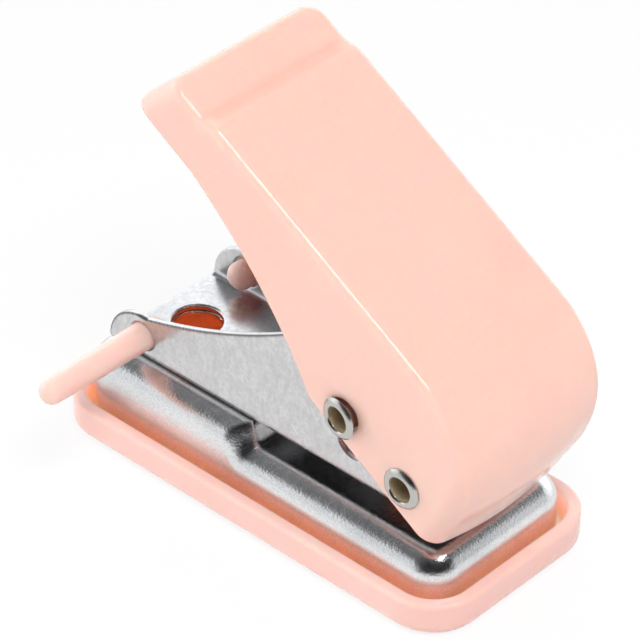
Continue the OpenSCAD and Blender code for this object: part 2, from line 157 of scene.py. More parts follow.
# Handle, level, with the pivot at the origin
WALL = 2.0
RISE = 20.3
SKIRT = 4.2
SKIRT_FALL = 0.7
SKIRT_LENGTH = 20.5
REACH = 72.3
NOSE_REACH = 11.15
NOSE_LEAN = math.radians(1)
NOSE_BOW = 1.8
NOSE_ROUND = 17.6
NOSE_CORNER = 3.0
ARCH_REACH = 58.0
ARCH_BOW = 2.1
ARCH_ROUND = 2.0
GRIP_DEPTH = 9.8
GRIP_FALL = 0.15
GRIP_LEAN = 3.0
GRIP_CORNER = 3.3
PAD_LENGTH = 8.0
PAD_DROP = 1.2
PAD_SLOPE = 2.8
PAD_VALLEY_ROUND = 2.5
PAD_RIDGE_ROUND = 2.5
CREASE_ROUND = 1.2
RIM_ROUND = 0.45
INNER_ROUND = 0.6
BOSS_R = 4.0
BOSS_GAP = 0.3
BOSS_EDGE_ROUND = 0.2
BOSS_ROOT_ROUND = 0.4
BORE_EDGE_ROUND = 0.25
HINGE_BORE_R = 2.65
DRIVE_BORE_R = 3.05

# Rivets, pegs and spring
BARREL_R = 2.6
RIVET_BORE_R = 2.0
FLANGE_R = 3.55
FLANGE_T = 0.7
FLANGE_LIP = 0.12
FLANGE_CREST_R = 2.5
FLANGE_CURVE = 1.9
ROLL_DEPTH = 1.1
DRIVE_FLANGE_TILT = math.radians(7)
PEG_R = 2.5
PEG_TIP_R = 2.15
PEG_DOME = 0.85
WIRE_R = 0.35
SPRING_TURNS = 4
SPRING_SEAT_TURNS = 0.8

# Depth in millimetres to which the plastic lets light through, and the share of light that goes in
GLOW_DEPTH = 2.0
PEG_GLOW_DEPTH = 6.0
POCKET_GLOW_DEPTH = 12.0
GLOW_SHARE = 0.5
GLOW_SPREAD = (1.0, 0.3, 0.15)
PLASTIC_IOR = 1.46

# Painted glow inside the tray, standing in for light that comes through its wall, in the gap beside the pan
# and in the chamber under it, and where it fades
POCKET_EDGE = 0.3
POCKET_RIM = 0.8
GAP_FADE = 3.6
GAP_SHADE = 0.5
GAP_GLOW = 0.5
GAP_FOOT_GLOW = 0.22
CHAMBER_GLOW = 0.24

# Painted shade on the channel's underside, the darker line along its edge, and painted shade in the hollow
# along the thumb pad
UNDERSIDE_SHADE = 0.6
EDGE_LINE_FROM = 0.12
EDGE_LINE_TO = 0.3
EDGE_LINE_SOFT = 0.15
VALLEY_WIDTH = 1.3

# Darker and lighter tone of each material
HANDLE_TONES = (0.98, 0.61, 0.515), (0.98, 0.63, 0.535)
PEG_TONES = (0.99, 0.65, 0.58), (0.99, 0.67, 0.6)
TRAY_TONES = (0.99, 0.61, 0.54), (0.99, 0.63, 0.56)
PAN_TONES = (0.65, 0.66, 0.67), (0.8, 0.8, 0.805)
STEEL_TONES = (0.56, 0.56, 0.57), (0.68, 0.68, 0.685)
TOOL_TONES = (0.42, 0.42, 0.43), (0.56, 0.56, 0.57)

# Other colours
# Painted shade in the hollow along the thumb pad, and painted glow colours and deeper painted orange inside
# the tray for light that comes through its wall
VALLEY_PAINTED_SHADE_PINK = (0.98, 0.52, 0.42)
GAP_PAINTED_GLOW_PINK = (1.0, 0.68, 0.58)
CHAMBER_PAINTED_GLOW_ORANGE = (1.0, 0.36, 0.18)
RIM_GLOW_TINT = (1.0, 0.6, 0.46)
GAP_GLOW_TINT = (1.0, 0.38, 0.22)
CHAMBER_GLOW_TINT = (1.0, 0.22, 0.06)
STEEL_SHADE = (0.12, 0.11, 0.11)
BRASS = (0.62, 0.51, 0.34)
NICKEL_GREY = (0.53, 0.52, 0.49)
FLOOR_GREY = (0.9, 0.9, 0.9)
WHITE = (1, 1, 1)

# Bore of a rivet, whose brass ends where the plating begins, in shares of the flange's radius
BORE_SHARE = RIVET_BORE_R / FLANGE_R
BRASS_END = BORE_SHARE + 0.005
PLATING_METAL = BORE_SHARE + 0.06
PLATING_COLOUR = BORE_SHARE + 0.09

# Stretch of the grain along each axis
STREAKS = (1, 1, 0.5)
TURNING_MARKS = (1, 1, 14)

# Camera fitted to the photo's 640 pixel frame
IMAGE_SIZE = 640
FOCAL_PIXELS = 3770
SENSOR = 36.0
AZIMUTH = math.radians(43.23)
ELEVATION = math.radians(36.59)
AIM_RIGHT = -0.27
AIM_UP = 25.5
CAMERA_DISTANCE = 620.5

# Floor and surround, in metres and shares of a direction
FLOOR_HALF = 3.0
FLOOR_GLOW_SHARE = 0.85
SKY_UP = (0.25, -0.25, 1)
SKY_PALE_TO = 0.4
SKY_DARK_FROM = 0.54
SKY_PALE = (0.96, 0.98, 1)
SKY_DARK = (0.14, 0.14, 0.145)
REAR_SHARE = -0.6
FRONT_SHARE = 0.8
REAR_LEVEL = 1.65
FRONT_LEVEL = 0.2
MATT_WAY = (1, 0, 0)
GLOSS_WAY = (1, -0.8, 0)

# Lamps, in metres
LAMP_AIM = Vector((0, 0, 0.03))
COOL = (0.93, 0.96, 1.0)
ROSY = (0.98, 0.8, 1.0)


# Fields

def round_max(a, b, r, turn=90):
    """Overlap of two solids whose faces turn by an angle in degrees, with an edge of radius r."""
    c, s = math.cos(math.radians(turn)), math.sin(math.radians(turn))
    u, v = a + r, b + r
    edge = np.sqrt(np.maximum(u * u + v * v - 2 * c * u * v, 0)) / s - r
    return np.where((u > c * v) & (v > c * u), edge, np.maximum(a, b))


def round_min(a, b, r, turn=90):
    """Sum of two solids, with a hollow of radius r between them."""
    return -round_max(-a, -b, r, turn)


def smooth(t, low, high):
    """Soft ramp from 0 at low to 1 at high."""
    s = np.clip((t - low) / (high - low), 0, 1)
    return s * s * (3 - 2 * s)


def soft_rectangle(x, y, half_x, half_y, r):
    """Rectangle with round corners."""
    return round_max(np.abs(x) - half_x, np.abs(y) - half_y, r)


def hole(r, u, v):
    """What a round hole of radius r about the origin leaves."""
    return r - np.hypot(u, v)


def heading(start, end):
    """Direction from one point to another, in degrees."""
    return math.degrees(math.atan2(end[1] - start[1], end[0] - start[0]))


def line(x, z, start, end):
    """Signed distance from the line through two points, positive on its left."""
    along = np.subtract(end, start) / math.dist(start, end)
    return (z - start[1]) * along[0] - (x - start[0]) * along[1]


def bowed(x, z, start, end, rise):
    """Distance outside the circle through two points that bulges by rise to the left of their chord."""
    chord = math.dist(start, end)
    along = np.subtract(end, start) / chord
    left = np.array([-along[1], along[0]])
    radius = chord ** 2 / (8 * abs(rise)) + abs(rise) / 2
    centre = np.add(start, end) / 2 + left * (rise - math.copysign(radius, rise))
    return np.hypot(x - centre[0], z - centre[1]) - radius


def end_turn(start, end, rise):
    """Angle in degrees between a flat arc and its chord at either end."""
    return math.degrees(4 * rise / math.dist(start, end))


# Meshes

def cell_edges():
    """Start and end corner of each of a grid cell's twelve edges."""
    edges = []
    for axis in range(3):
        first, second = [k for k in range(3) if k != axis]
        for at_second in (0, 1):
            for at_first in (0, 1):
                start = [0, 0, 0]
                start[first] = at_first
                start[second] = at_second
                end = list(start)
                end[axis] = 1
                edges.append((start, end))
    return edges


def crossings(value):
    """Sum and number of the places in each cell where the surface crosses the cell's edges."""
    cells = tuple(n - 1 for n in value.shape)

    def corner(offset):
        return value[tuple(slice(o, o + n) for o, n in zip(offset, cells))]

    total = np.zeros(cells + (3,))
    count = np.zeros(cells)
    for start, end in cell_edges():
        a, b = corner(start), corner(end)
        crossed = (a < 0) != (b < 0)
        share = np.where(crossed, a / np.where(crossed, a - b, 1), 0)
        for k in range(3):
            total[..., k] += np.where(crossed, start[k] + share * (end[k] - start[k]), 0)
        count += crossed
    return total, count


def net_quads(value, index):
    """Quads that join the four cells round each grid edge that the surface crosses."""
    quads = []
    for k in range(3):
        u, v = (k + 1) % 3, (k + 2) % 3
        inner = [slice(1, n - 1) for n in value.shape]
        inner[k] = slice(0, value.shape[k] - 1)
        ahead = list(inner)
        ahead[k] = slice(1, value.shape[k])
        a, b = value[tuple(inner)] < 0, value[tuple(ahead)] < 0
        for flip, mask in ((False, a & ~b), (True, ~a & b)):
            at = np.argwhere(mask)
            at[:, u] += 1
            at[:, v] += 1
            ring = []
            for du, dv in ((-1, -1), (0, -1), (0, 0), (-1, 0)):
                cell = at.copy()
                cell[:, u] += du
                cell[:, v] += dv
                ring.append(index[tuple(cell.T)])
            quads.append(np.stack(ring[::-1] if flip else ring, 1))
    return np.concatenate(quads)


def surface_net(field, low, high, step):
    """Points and quads of the field's zero surface on a grid, one point in each cell that it crosses."""
    before, after = GRID_MARGIN * step, (GRID_MARGIN + 1) * step
    axes = [np.arange(a - before, b + after, step) for a, b in zip(low, high)]
    value = field(axes[0][:, None, None], axes[1][None, :, None], axes[2][None, None, :])
    value = np.broadcast_to(value, [len(a) for a in axes])
    total, count = crossings(value)
    used = count > 0
    index = np.full(used.shape, -1)
    index[used] = np.arange(used.sum())
    origin = np.array([a[0] for a in axes])
    points = origin + step * (np.argwhere(used) + total[used] / count[used][:, None])
    return points, net_quads(value, index)


def slope_of(field, points):
    """Gradient of a field at each point."""
    steps = np.eye(3) * SLOPE_REACH
    rises = [field(*(points + s).T) - field(*(points - s).T) for s in steps]
    return np.stack(rises, 1) / (2 * SLOPE_REACH)


def field_piece(name, field, low, high, step, place=None):
    """Object with the field's surface, which place, a matrix in millimetres, brings into the row frame."""
    points, quads = surface_net(field, low, high, step)
    for _ in range(SNAP_ROUNDS):
        slope = slope_of(field, points)
        points = points - slope * (field(*points.T) / np.maximum((slope ** 2).sum(1), LEAST_SLOPE))[:, None]
    normals = slope_of(field, points)
    normals /= np.linalg.norm(normals, axis=1)[:, None]
    if place is not None:
        turn = np.array(place.to_3x3())
        points = points @ turn.T + np.array(place.to_translation())
        normals = normals @ turn.T
    piece = mesh_piece(name, points, quads.tolist())
    piece.data.normals_split_custom_set_from_vertices(normals.tolist())
    return piece


def mesh_piece(name, points, faces, sharp_angle=None):
    """Smoothly shaded object from points in millimetres."""
    mesh = bpy.data.meshes.new(name)
    mesh.from_pydata((np.asarray(points) * MM).tolist(), [], faces)
    mesh.validate()
    mesh.shade_smooth()
    if sharp_angle is not None:
        mesh.set_sharp_from_angle(angle=sharp_angle)
    piece = bpy.data.objects.new(name, mesh)
    bpy.context.scene.collection.objects.link(piece)
    return piece


def turned(name, profile, centre, sides, poles=False):
    """Piece turned about Y from (radius, height) points, a closed profile or, with poles, an open one."""
    points = []
    for k in range(sides):
        a = 2 * math.pi * k / sides
        points += [(r * math.cos(a), h, r * math.sin(a)) for r, h in profile]
    n = len(profile)
    spans = n - 1 if poles else n
    faces = []
    for k in range(sides):
        here, there = k * n, (k + 1) % sides * n
        for i in range(spans):
            j = (i + 1) % n
            faces.append([here + i, here + j, there + j, there + i])
    if poles:
        first, last = len(points), len(points) + 1
        points += [(0, profile[0][1], 0), (0, profile[-1][1], 0)]
        for k in range(sides):
            here, there = k * n, (k + 1) % sides * n
            faces.append([first, here, there])
            faces.append([last, there + n - 1, here + n - 1])
    piece = mesh_piece(name, points, faces, SHARP_EDGE)
    piece.location = Vector(centre) * MM
    return piece


def arc(centre, radii, start, end, steps=ARC_STEPS):
    """Points of an elliptic arc between two angles in degrees."""
    angles = np.radians(np.linspace(start, end, steps + 1))
    return [(centre[0] + radii[0] * math.cos(a), centre[1] + radii[1] * math.sin(a)) for a in angles]


def tube(name, path, radius, sides):
    """Round tube along a path of points, with closed ends."""
    tangent = np.gradient(path, axis=0)
    tangent /= np.linalg.norm(tangent, axis=1)[:, None]
    side = np.cross(tangent, (0, 0, 1))
    side /= np.linalg.norm(side, axis=1)[:, None]
    up = np.cross(side, tangent)
    angles = 2 * np.pi * np.arange(sides) / sides
    around = side[:, None] * np.cos(angles)[:, None] + up[:, None] * np.sin(angles)[:, None]
    rings = path[:, None] + radius * around
    faces = []
    for i in range(len(path) - 1):
        for j in range(sides):
            k = (j + 1) % sides
            faces.append([i * sides + j, i * sides + k, (i + 1) * sides + k, (i + 1) * sides + j])
    last = (len(path) - 1) * sides
    faces.append(list(range(sides))[::-1])
    faces.append([last + j for j in range(sides)])
    return mesh_piece(name, rings.reshape(-1, 3), faces, SHARP_EDGE)


# Shapes

def tray_outline(x, y):
    return soft_rectangle(x, y, TRAY_HIGH[0], TRAY_HIGH[1], TRAY_CORNER)


def pan_outline(x, y):
    return soft_rectangle(x, y, PAN_HIGH[0], PAN_HIGH[1], PAN_CORNER)


def tray_field(x, y, z):
    """Shallow tray with a flat rim, and the rib that the pan's foot goes over."""
    outer = tray_outline(x, y)
    body = round_max(round_max(outer, -z, TRAY_FOOT_ROUND), z - TRAY_HIGH[2], TRAY_RIM_ROUND)
    pocket = round_max(outer + TRAY_WALL, TRAY_FLOOR - z, TRAY_POCKET_ROUND)
    body = round_max(body, -pocket, TRAY_POCKET_ROUND)
    inset = PAN_HIGH[:2] - RIB_INSET
    rib = soft_rectangle(x, y, inset[0], inset[1], PAN_CORNER - RIB_INSET)
    ring = round_max(rib, -rib - RIB_WALL, RIB_ROUND)
    ring = round_max(ring, z - TRAY_FLOOR - RIB_HEIGHT, RIB_ROUND)
    return round_min(body, np.maximum(ring, TRAY_FLOOR / 2 - z), RIB_ROUND)


def pan_form(x, y, z):
    """Outside of the pan: two decks joined by a soft step that is longer at the walls."""
    spread = smooth(np.abs(y), CHANNEL_HIGH[1] - STEP_SPREAD_INSET, PAN_HIGH[1])
    length = STEP_LENGTH + STEP_SPREAD * spread
    t = np.clip((x - STEP_X) / length + STEP_LEAD, 0, 1)
    # A curve of the fifth power from deck to deck, and its slope
    deck = PAN_HIGH[2] - DECK_DROP * t ** 3 * (6 * t * t - 15 * t + 10)
    steepness = 30 * (t * (1 - t)) ** 2 * DECK_DROP / length
    return round_max(pan_outline(x, y), (z - deck) / np.sqrt(1 + steepness ** 2), PAN_SHOULDER)


def pan_field(x, y, z):
    """Pressed sheet of the pan with its holes."""
    form = pan_form(x, y, z)
    sheet = np.maximum(form, -form - PAN_SHEET)
    sheet = round_max(sheet, PAN_LOW[2] - z, PAN_EDGE_ROUND)
    sheet = round_max(sheet, hole(WEB_HOLE_R, x - PEG_X, y), PAN_EDGE_ROUND)
    sheet = np.maximum(sheet, hole(RIVET_HOLE_R, x - RIVET_X, np.abs(y) - RIVET_Y))
    return np.maximum(sheet, hole(DIE_HOLE_R, x - PUNCH_X, y))


def channel_walls(x, z):
    """Side view of the channel's walls."""
    low, top = CHANNEL_LOW[2], CHANNEL_HIGH[2]
    ear_top = (PEG_X + EAR_FLAT, low + EAR_HEIGHT)
    crest = (PUNCH_X - CREST_REACH, top)
    crest_front = (PUNCH_X + CREST_FRONT, top)
    front_top = (CHANNEL_HIGH[0], PIVOT[2] + FRONT_LAND)
    sag = -bowed(x, z, ear_top, crest, -WALL_DIP)
    ear = round_max(CHANNEL_LOW[0] - x, z - ear_top[1], EAR_ROUND)
    rise = heading(ear_top, crest) + end_turn(ear_top, crest, WALL_DIP)
    rear = round_max(np.where(x < ear_top[0], ear, sag), z - top, CREST_ROUND, rise)
    fall = -heading(crest_front, front_top)
    front = round_max(z - top, line(x, z, crest_front, front_top), CREST_ROUND, fall)
    front = round_max(front, x - CHANNEL_HIGH[0], FRONT_LAND, 90 - fall)
    return np.maximum(rear, front)


def channel_field(x, y, z):
    """Bent sheet of the channel with its holes and guide slots."""
    form = round_max(np.abs(y) - CHANNEL_HIGH[1], CHANNEL_LOW[2] - z, BEND + SHEET)
    sheet = np.maximum(form, -form - SHEET)
    body = round_max(sheet, channel_walls(x, z), SHEET_EDGE_ROUND)
    slot_top = CHANNEL_HIGH[2] - SLOT_TOP_LAND - SLOT_R
    slot_z = np.clip(z, PIVOT[2], slot_top)
    body = round_max(body, hole(SLOT_R, x - PUNCH_X, z - slot_z), SHEET_EDGE_ROUND)
    body = np.maximum(body, hole(PIVOT_HOLE_R, x - PIVOT[0], z - PIVOT[2]))
    body = round_max(body, hole(PEG_HOLE_R, x - PEG_X, z - PEG_Z), PEG_HOLE_ROUND)
    body = round_max(body, hole(WEB_HOLE_R, x - PEG_X, y), SHEET_EDGE_ROUND)
    body = np.maximum(body, hole(RIVET_HOLE_R, x - RIVET_X, np.abs(y) - RIVET_Y))
    return np.maximum(body, hole(BUSH_HOLE_R, x - PUNCH_X, y))


def handle_top(x, y, z):
    """Nose, back and thumb pad of the handle. The nose is bowed about an upright axis far behind it."""
    bow_r = (HANDLE_HALF ** 2 + NOSE_BOW ** 2) / (2 * NOSE_BOW)
    past_nose = np.hypot(x - NOSE_REACH + bow_r, y) - bow_r
    front = (past_nose + (z + SKIRT) * math.tan(NOSE_LEAN)) * math.cos(NOSE_LEAN)
    pad_z = RISE - PAD_DROP
    end_top = (GRIP_LEAN - REACH, pad_z)
    valley = (end_top[0] + PAD_LENGTH, pad_z)
    ridge = (valley[0] + PAD_SLOPE, RISE)
    slope = heading(valley, ridge)
    pad = round_min(line(x, z, valley, ridge), z - pad_z, PAD_VALLEY_ROUND, slope)
    top = round_max(z - RISE, pad, PAD_RIDGE_ROUND, slope)
    return round_max(top, front, NOSE_ROUND, 90 - math.degrees(NOSE_LEAN))


def handle_end(x, z):
    """Leaning face of the handle's free end."""
    top_z = RISE - PAD_DROP
    return line(x, z, (-REACH, top_z - GRIP_DEPTH), (GRIP_LEAN - REACH, top_z))


def handle_rim(x, z):
    """Side view of the handle's lower edge: straight under the rivets, arched, straight at the free end."""
    grip_z = RISE - PAD_DROP - GRIP_DEPTH
    nose_low = (NOSE_REACH, -SKIRT - SKIRT_FALL)
    arch_start, arch_end = (-SKIRT_LENGTH, -SKIRT), (-ARCH_REACH, grip_z - GRIP_FALL)
    arch = -bowed(x, z, arch_start, arch_end, -ARCH_BOW)
    arch = np.where(x < arch_end[0], line(x, z, arch_end, (-REACH, grip_z)), arch)
    bend = end_turn(arch_start, arch_end, ARCH_BOW)
    climb = heading(nose_low, arch_start) - heading(arch_start, arch_end) + bend
    return round_max(line(x, z, nose_low, arch_start), arch, ARCH_ROUND, climb)


def handle_field(x, y, z):
    """Shell of the handle with the bosses that run on the channel, and their bores."""
    side = np.abs(y) - HANDLE_HALF
    top = handle_top(x, y, z)
    walls = round_max(side, handle_end(x, z), GRIP_CORNER)
    crease = CREASE_ROUND + (NOSE_CORNER - CREASE_ROUND) * smooth(RISE - z, NOSE_ROUND / 4, NOSE_ROUND)
    outer = round_max(top, walls, crease)
    hollow = round_max(top + WALL, walls + WALL, INNER_ROUND)
    shell = round_max(outer, handle_rim(x, z), RIM_ROUND)
    shell = round_max(shell, -hollow, RIM_ROUND)
    face = CHANNEL_HIGH[1] + BOSS_GAP
    for at, bore in ((0, HINGE_BORE_R), (-DRIVE_ARM, DRIVE_BORE_R)):
        reach = np.hypot(x - at, z)
        boss = round_max(reach - BOSS_R, face - np.abs(y), BOSS_EDGE_ROUND)
        boss = np.maximum(boss, side + WALL / 2)
        shell = round_min(shell, boss, BOSS_ROOT_ROUND)
        shell = round_max(shell, bore - reach, BORE_EDGE_ROUND)
    return shell


def rivet_profile(flange_out):
    """Closed profile of a hollow rivet whose flanges crest at plus and minus flange_out."""
    under = flange_out - FLANGE_T
    lip_z = under + FLANGE_LIP
    lip = arc((FLANGE_R - FLANGE_LIP, lip_z), (FLANGE_LIP, FLANGE_LIP), -90, 0, LIP_STEPS)
    width, height = FLANGE_R - FLANGE_CREST_R, FLANGE_T - FLANGE_LIP
    inward = np.linspace(0, 1, ARC_STEPS + 1)
    crown = [(FLANGE_R - width * t, lip_z + height * (1 - (1 - t) ** FLANGE_CURVE)) for t in inward]
    roll = (FLANGE_CREST_R - RIVET_BORE_R, ROLL_DEPTH)
    throat = arc((FLANGE_CREST_R, flange_out - ROLL_DEPTH), roll, 90, 180)
    end = [(BARREL_R, under)] + lip + crown[1:] + throat[1:]
    other = [(r, -h) for r, h in reversed(end)]
    return end + other


def peg_profile():
    """Profile of a tapered peg with domed ends, from its inner to its outer end."""
    inner, outer = PEG_LOW[1], PEG_HIGH[1]
    start = CHANNEL_HIGH[1] + PEG_HOLE_ROUND
    dome, tip = PEG_R * PEG_DOME, PEG_TIP_R * PEG_DOME
    first = arc((PEG_R - dome, inner + dome), (dome, dome), -90, 0)
    last = arc((PEG_TIP_R - tip, outer - tip), (tip, tip), 0, 90)
    return first + [(PEG_R, start)] + last


def spring_path():
    """Centre line of the coil, closer wound at its ends."""
    low, high = SPRING_LOW[2] + WIRE_R, SPRING_HIGH[2] - WIRE_R
    radius = (SPRING_HIGH[0] - SPRING_LOW[0]) / 2 - WIRE_R
    turns = np.linspace(0, SPRING_TURNS, SPRING_TURNS * COIL_STEPS + 1)
    lift = smooth(turns, -SPRING_SEAT_TURNS, SPRING_TURNS + SPRING_SEAT_TURNS)
    lift = (lift - lift[0]) / (lift[-1] - lift[0])
    angle = 2 * np.pi * turns
    return np.stack([PUNCH_X + radius * np.cos(angle), radius * np.sin(angle), low + (high - low) * lift], 1)


# Shader nodes

def node_maker(tree):
    """Function that adds a node to a tree, with its inputs linked or set."""
    def node(kind, inputs=None, **settings):
        made = tree.nodes.new("ShaderNode" + kind)
        for key, value in settings.items():
            setattr(made, key, value)
        for key, value in (inputs or {}).items():
            if isinstance(value, bpy.types.NodeSocket):
                tree.links.new(value, made.inputs[key])
            else:
                made.inputs[key].default_value = value
        return made

    return node


def new_material(name, **sockets):
    """Material with a Principled shader, a function that adds nodes and one that links to the shader."""
    material = bpy.data.materials.new(name)
    material.use_nodes = True
    tree = material.node_tree
    shader = tree.nodes["Principled BSDF"]
    for socket, value in sockets.items():
        shader.inputs[socket.replace("_", " ")].default_value = value

    def link(output, socket):
        tree.links.new(output, shader.inputs[socket])

    return material, node_maker(tree), link


def rgba(colour):
    return (*colour, 1)


def ramp(node, factor, *stops):
    """Colour ramp over (position, colour) stops."""
    made = node("ValToRGB", {"Fac": factor})
    elements = made.color_ramp.elements
    while len(elements) < len(stops):
        elements.new(0.5)
    for element, (position, colour) in zip(elements, stops):
        element.position = position
        element.color = rgba(colour)
    return made.outputs["Color"]


def levels(node, factor, *stops):
    """Ramp over (position, level) stops."""
    return ramp(node, factor, *((position, (level, level, level)) for position, level in stops))


def object_place(node, stretch=(1, 1, 1)):
    """Object coordinates, scaled along each axis."""
    place = node("TexCoord").outputs["Object"]
    return node("Mapping", {"Vector": place, "Scale": stretch}).outputs["Vector"]


def noise(node, place, scale, detail, **more):
    """Cloudy pattern over a place."""
    return node("TexNoise", {"Vector": place, "Scale": scale, "Detail": detail, **more}).outputs["Fac"]


def combined(node, operation, a, b):
    """One number from two."""
    return node("Math", {0: a, 1: b}, operation=operation).outputs["Value"]


def mixed(node, factor, a, b):
    """Colour a where the factor is 0 and colour b where it is 1."""
    return node("Mix", {"Factor": factor, "A": a, "B": b}, data_type="RGBA").outputs["Result"]


def painted(node, name):
    """Number that was painted on the points of a piece."""
    return node("Attribute", attribute_name=name).outputs["Fac"]


def bumped(node, height, strength, depth):
    """Normal of a surface with a relief of some depth in millimetres."""
    return node("Bump", {"Height": height, "Strength": strength, "Distance": depth * MM}).outputs["Normal"]


# Materials

def pocket_painted_glow(node, link, colour):
    """Painted deeper orange and a painted glow inside the tray, standing in for light that comes through its
    wall, and more scattering there.
    """
    depth = painted(node, "pocket")
    inside = node("MapRange", {"Value": depth, "From Max": GAP_SHADE}).outputs["Result"]
    share = node("MapRange", {"Value": inside, "To Min": GLOW_SHARE, "To Max": 1.0})
    link(share.outputs["Result"], "Subsurface Weight")
    glow = node("MapRange", {"Value": inside, "To Min": GLOW_DEPTH * MM, "To Max": POCKET_GLOW_DEPTH * MM})
    link(glow.outputs["Result"], "Subsurface Scale")
    # Painted glow, paler at the rim and deeper orange under the pan
    tint = ramp(node, depth, (0.0, RIM_GLOW_TINT), (GAP_SHADE, GAP_GLOW_TINT), (1.0, CHAMBER_GLOW_TINT))
    link(tint, "Emission Color")
    link(painted(node, "glow"), "Emission Strength")
    # Painted colour that turns deeper orange with depth in the pocket
    painted_glow_colour = ramp(node, depth, (GAP_SHADE, GAP_PAINTED_GLOW_PINK), (1.0, CHAMBER_PAINTED_GLOW_ORANGE))
    return mixed(node, inside, colour, painted_glow_colour)


def pink_plastic(name, tones, glow_depth=GLOW_DEPTH, pocket=False, valley=False):
    """Glossy moulded plastic that lets a little light through, with painted glow and deeper colour in a
    pocket and painted shade in a valley.
    """
    material, node, link = new_material(
        name, Subsurface_Weight=GLOW_SHARE, Subsurface_Radius=GLOW_SPREAD,
        Subsurface_Scale=glow_depth * MM, IOR=PLASTIC_IOR)
    place = object_place(node)
    dark, light = tones
    colour = ramp(node, noise(node, place, scale=45, detail=3), (0.3, dark), (0.7, light))
    if pocket:
        colour = pocket_painted_glow(node, link, colour)
    if valley:
        # Painted shade along the hollow under the thumb pad
        colour = mixed(node, painted(node, "valley"), colour, rgba(VALLEY_PAINTED_SHADE_PINK))
    link(colour, "Base Color")
    smear = noise(node, place, scale=700, detail=4)
    link(levels(node, smear, (0.3, 0.13), (0.75, 0.19)), "Roughness")
    skin = noise(node, place, scale=1400, detail=2)
    link(bumped(node, skin, strength=0.06, depth=0.05), "Normal")
    return material


def bright_pan():
    """Plated pressed sheet with an orange-peel surface."""
    material, node, link = new_material("bright_pan", Metallic=1.0)
    place = object_place(node)
    dark, light = PAN_TONES
    cloud = noise(node, place, scale=90, detail=3)
    speck = noise(node, place, scale=4200, detail=2)
    tone = combined(node, "MULTIPLY", cloud, speck)
    link(ramp(node, tone, (0.14, dark), (0.34, light)), "Base Color")
    grain = noise(node, place, scale=900, detail=3, Roughness=0.6)
    link(levels(node, grain, (0.35, 0.16), (0.7, 0.27)), "Roughness")
    peel = noise(node, place, scale=2400, detail=4)
    link(bumped(node, peel, strength=0.45, depth=0.08), "Normal")
    return material


def steel_sheet():
    """Rolled, speckled steel sheet, with painted shade on its underside and a darker line along its cut
    edge.
    """
    material, node, link = new_material("steel_sheet", Metallic=1.0)
    place = object_place(node)
    dark, light = STEEL_TONES
    speckle = noise(node, place, scale=1500, detail=4)
    streak = noise(node, object_place(node, STREAKS), scale=900, detail=3)
    both = combined(node, "MULTIPLY", speckle, streak)
    bright = ramp(node, both, (0.12, dark), (0.36, light))
    # Painted shade on the underside, and a darker line along the cut edge
    shade = combined(node, "MAXIMUM", painted(node, "underside"), painted(node, "dark_edge_line"))
    link(mixed(node, shade, bright, rgba(STEEL_SHADE)), "Base Color")
    cloud = noise(node, place, scale=110, detail=3)
    link(levels(node, cloud, (0.3, 0.22), (0.7, 0.34)), "Roughness")
    link(bumped(node, both, strength=0.2, depth=0.06), "Normal")
    return material


def nickel():
    """Nickel plating that is worn to brass inside the bore."""
    material, node, link = new_material("nickel")
    place = node("TexCoord").outputs["Object"]
    flat = node("VectorMath", {0: place, 1: (1, 0, 1)}, operation="MULTIPLY").outputs["Vector"]
    reach = node("VectorMath", {0: flat}, operation="LENGTH").outputs["Value"]
    share = combined(node, "DIVIDE", reach, FLANGE_R * MM)
    link(ramp(node, share, (BRASS_END, BRASS), (PLATING_COLOUR, NICKEL_GREY)), "Base Color")
    link(levels(node, share, (BRASS_END, 0.45), (PLATING_METAL, 1)), "Metallic")
    grain = noise(node, place, scale=1800, detail=3)
    link(levels(node, grain, (0.3, 0.12), (0.7, 0.26)), "Roughness")
    link(bumped(node, grain, strength=0.25, depth=0.08), "Normal")
    return material


def tool_steel():
    """Ground and oiled steel of the cutter, die and spring."""
    material, node, link = new_material("tool_steel", Metallic=1.0)
    dark, light = TOOL_TONES
    ring = noise(node, object_place(node, TURNING_MARKS), scale=400, detail=3)
    link(ramp(node, ring, (0.3, dark), (0.7, light)), "Base Color")
    link(levels(node, ring, (0.3, 0.24), (0.7, 0.38)), "Roughness")
    link(bumped(node, ring, strength=0.15, depth=0.05), "Normal")
    return material


def pale_floor():
    """White floor that is evenly bright to the camera and to metal, and still takes some shadow."""
    material, node, _ = new_material("pale_floor", Base_Color=rgba(FLOOR_GREY), Roughness=0.6)
    tree = material.node_tree
    path = node("LightPath").outputs
    seen = combined(node, "MAXIMUM", path["Is Camera Ray"], path["Is Glossy Ray"])
    seen = combined(node, "MAXIMUM", seen, path["Is Transmission Ray"])
    share = combined(node, "MULTIPLY", seen, FLOOR_GLOW_SHARE)
    glow = node("Emission", {"Color": rgba(WHITE), "Strength": 1.0}).outputs["Emission"]
    mix = node("MixShader", {0: share, 1: tree.nodes["Principled BSDF"].outputs["BSDF"], 2: glow})
    tree.links.new(mix.outputs["Shader"], tree.nodes["Material Output"].inputs["Surface"])
    return material


PINK = pink_plastic("pink_plastic", HANDLE_TONES, valley=True)
PEG_PINK = pink_plastic("peg_plastic", PEG_TONES, PEG_GLOW_DEPTH)
TRAY_PINK = pink_plastic("tray_plastic", TRAY_TONES, pocket=True)
PAN = bright_pan()
STEEL = steel_sheet()
NICKEL = nickel()
TOOL = tool_steel()


# Pieces

def dress(piece, material, body, slot, *nodes):
    """Gives a piece its material and body, and hides the CAD nodes that it stands for."""
    piece.data.materials.append(material)
    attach(piece, body)
    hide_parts(*nodes)


def points_of(piece):
    """Coordinates of a piece's points in millimetres, as x, y and z."""
    return (np.array([v.co for v in piece.data.vertices]) / MM).T


def paint(piece, name, values):
    """Stores one number for each point of a piece, for its material."""
    layer = piece.data.attributes.new(name, "FLOAT", "POINT")
    layer.data.foreach_set("value", np.asarray(values, np.float32))


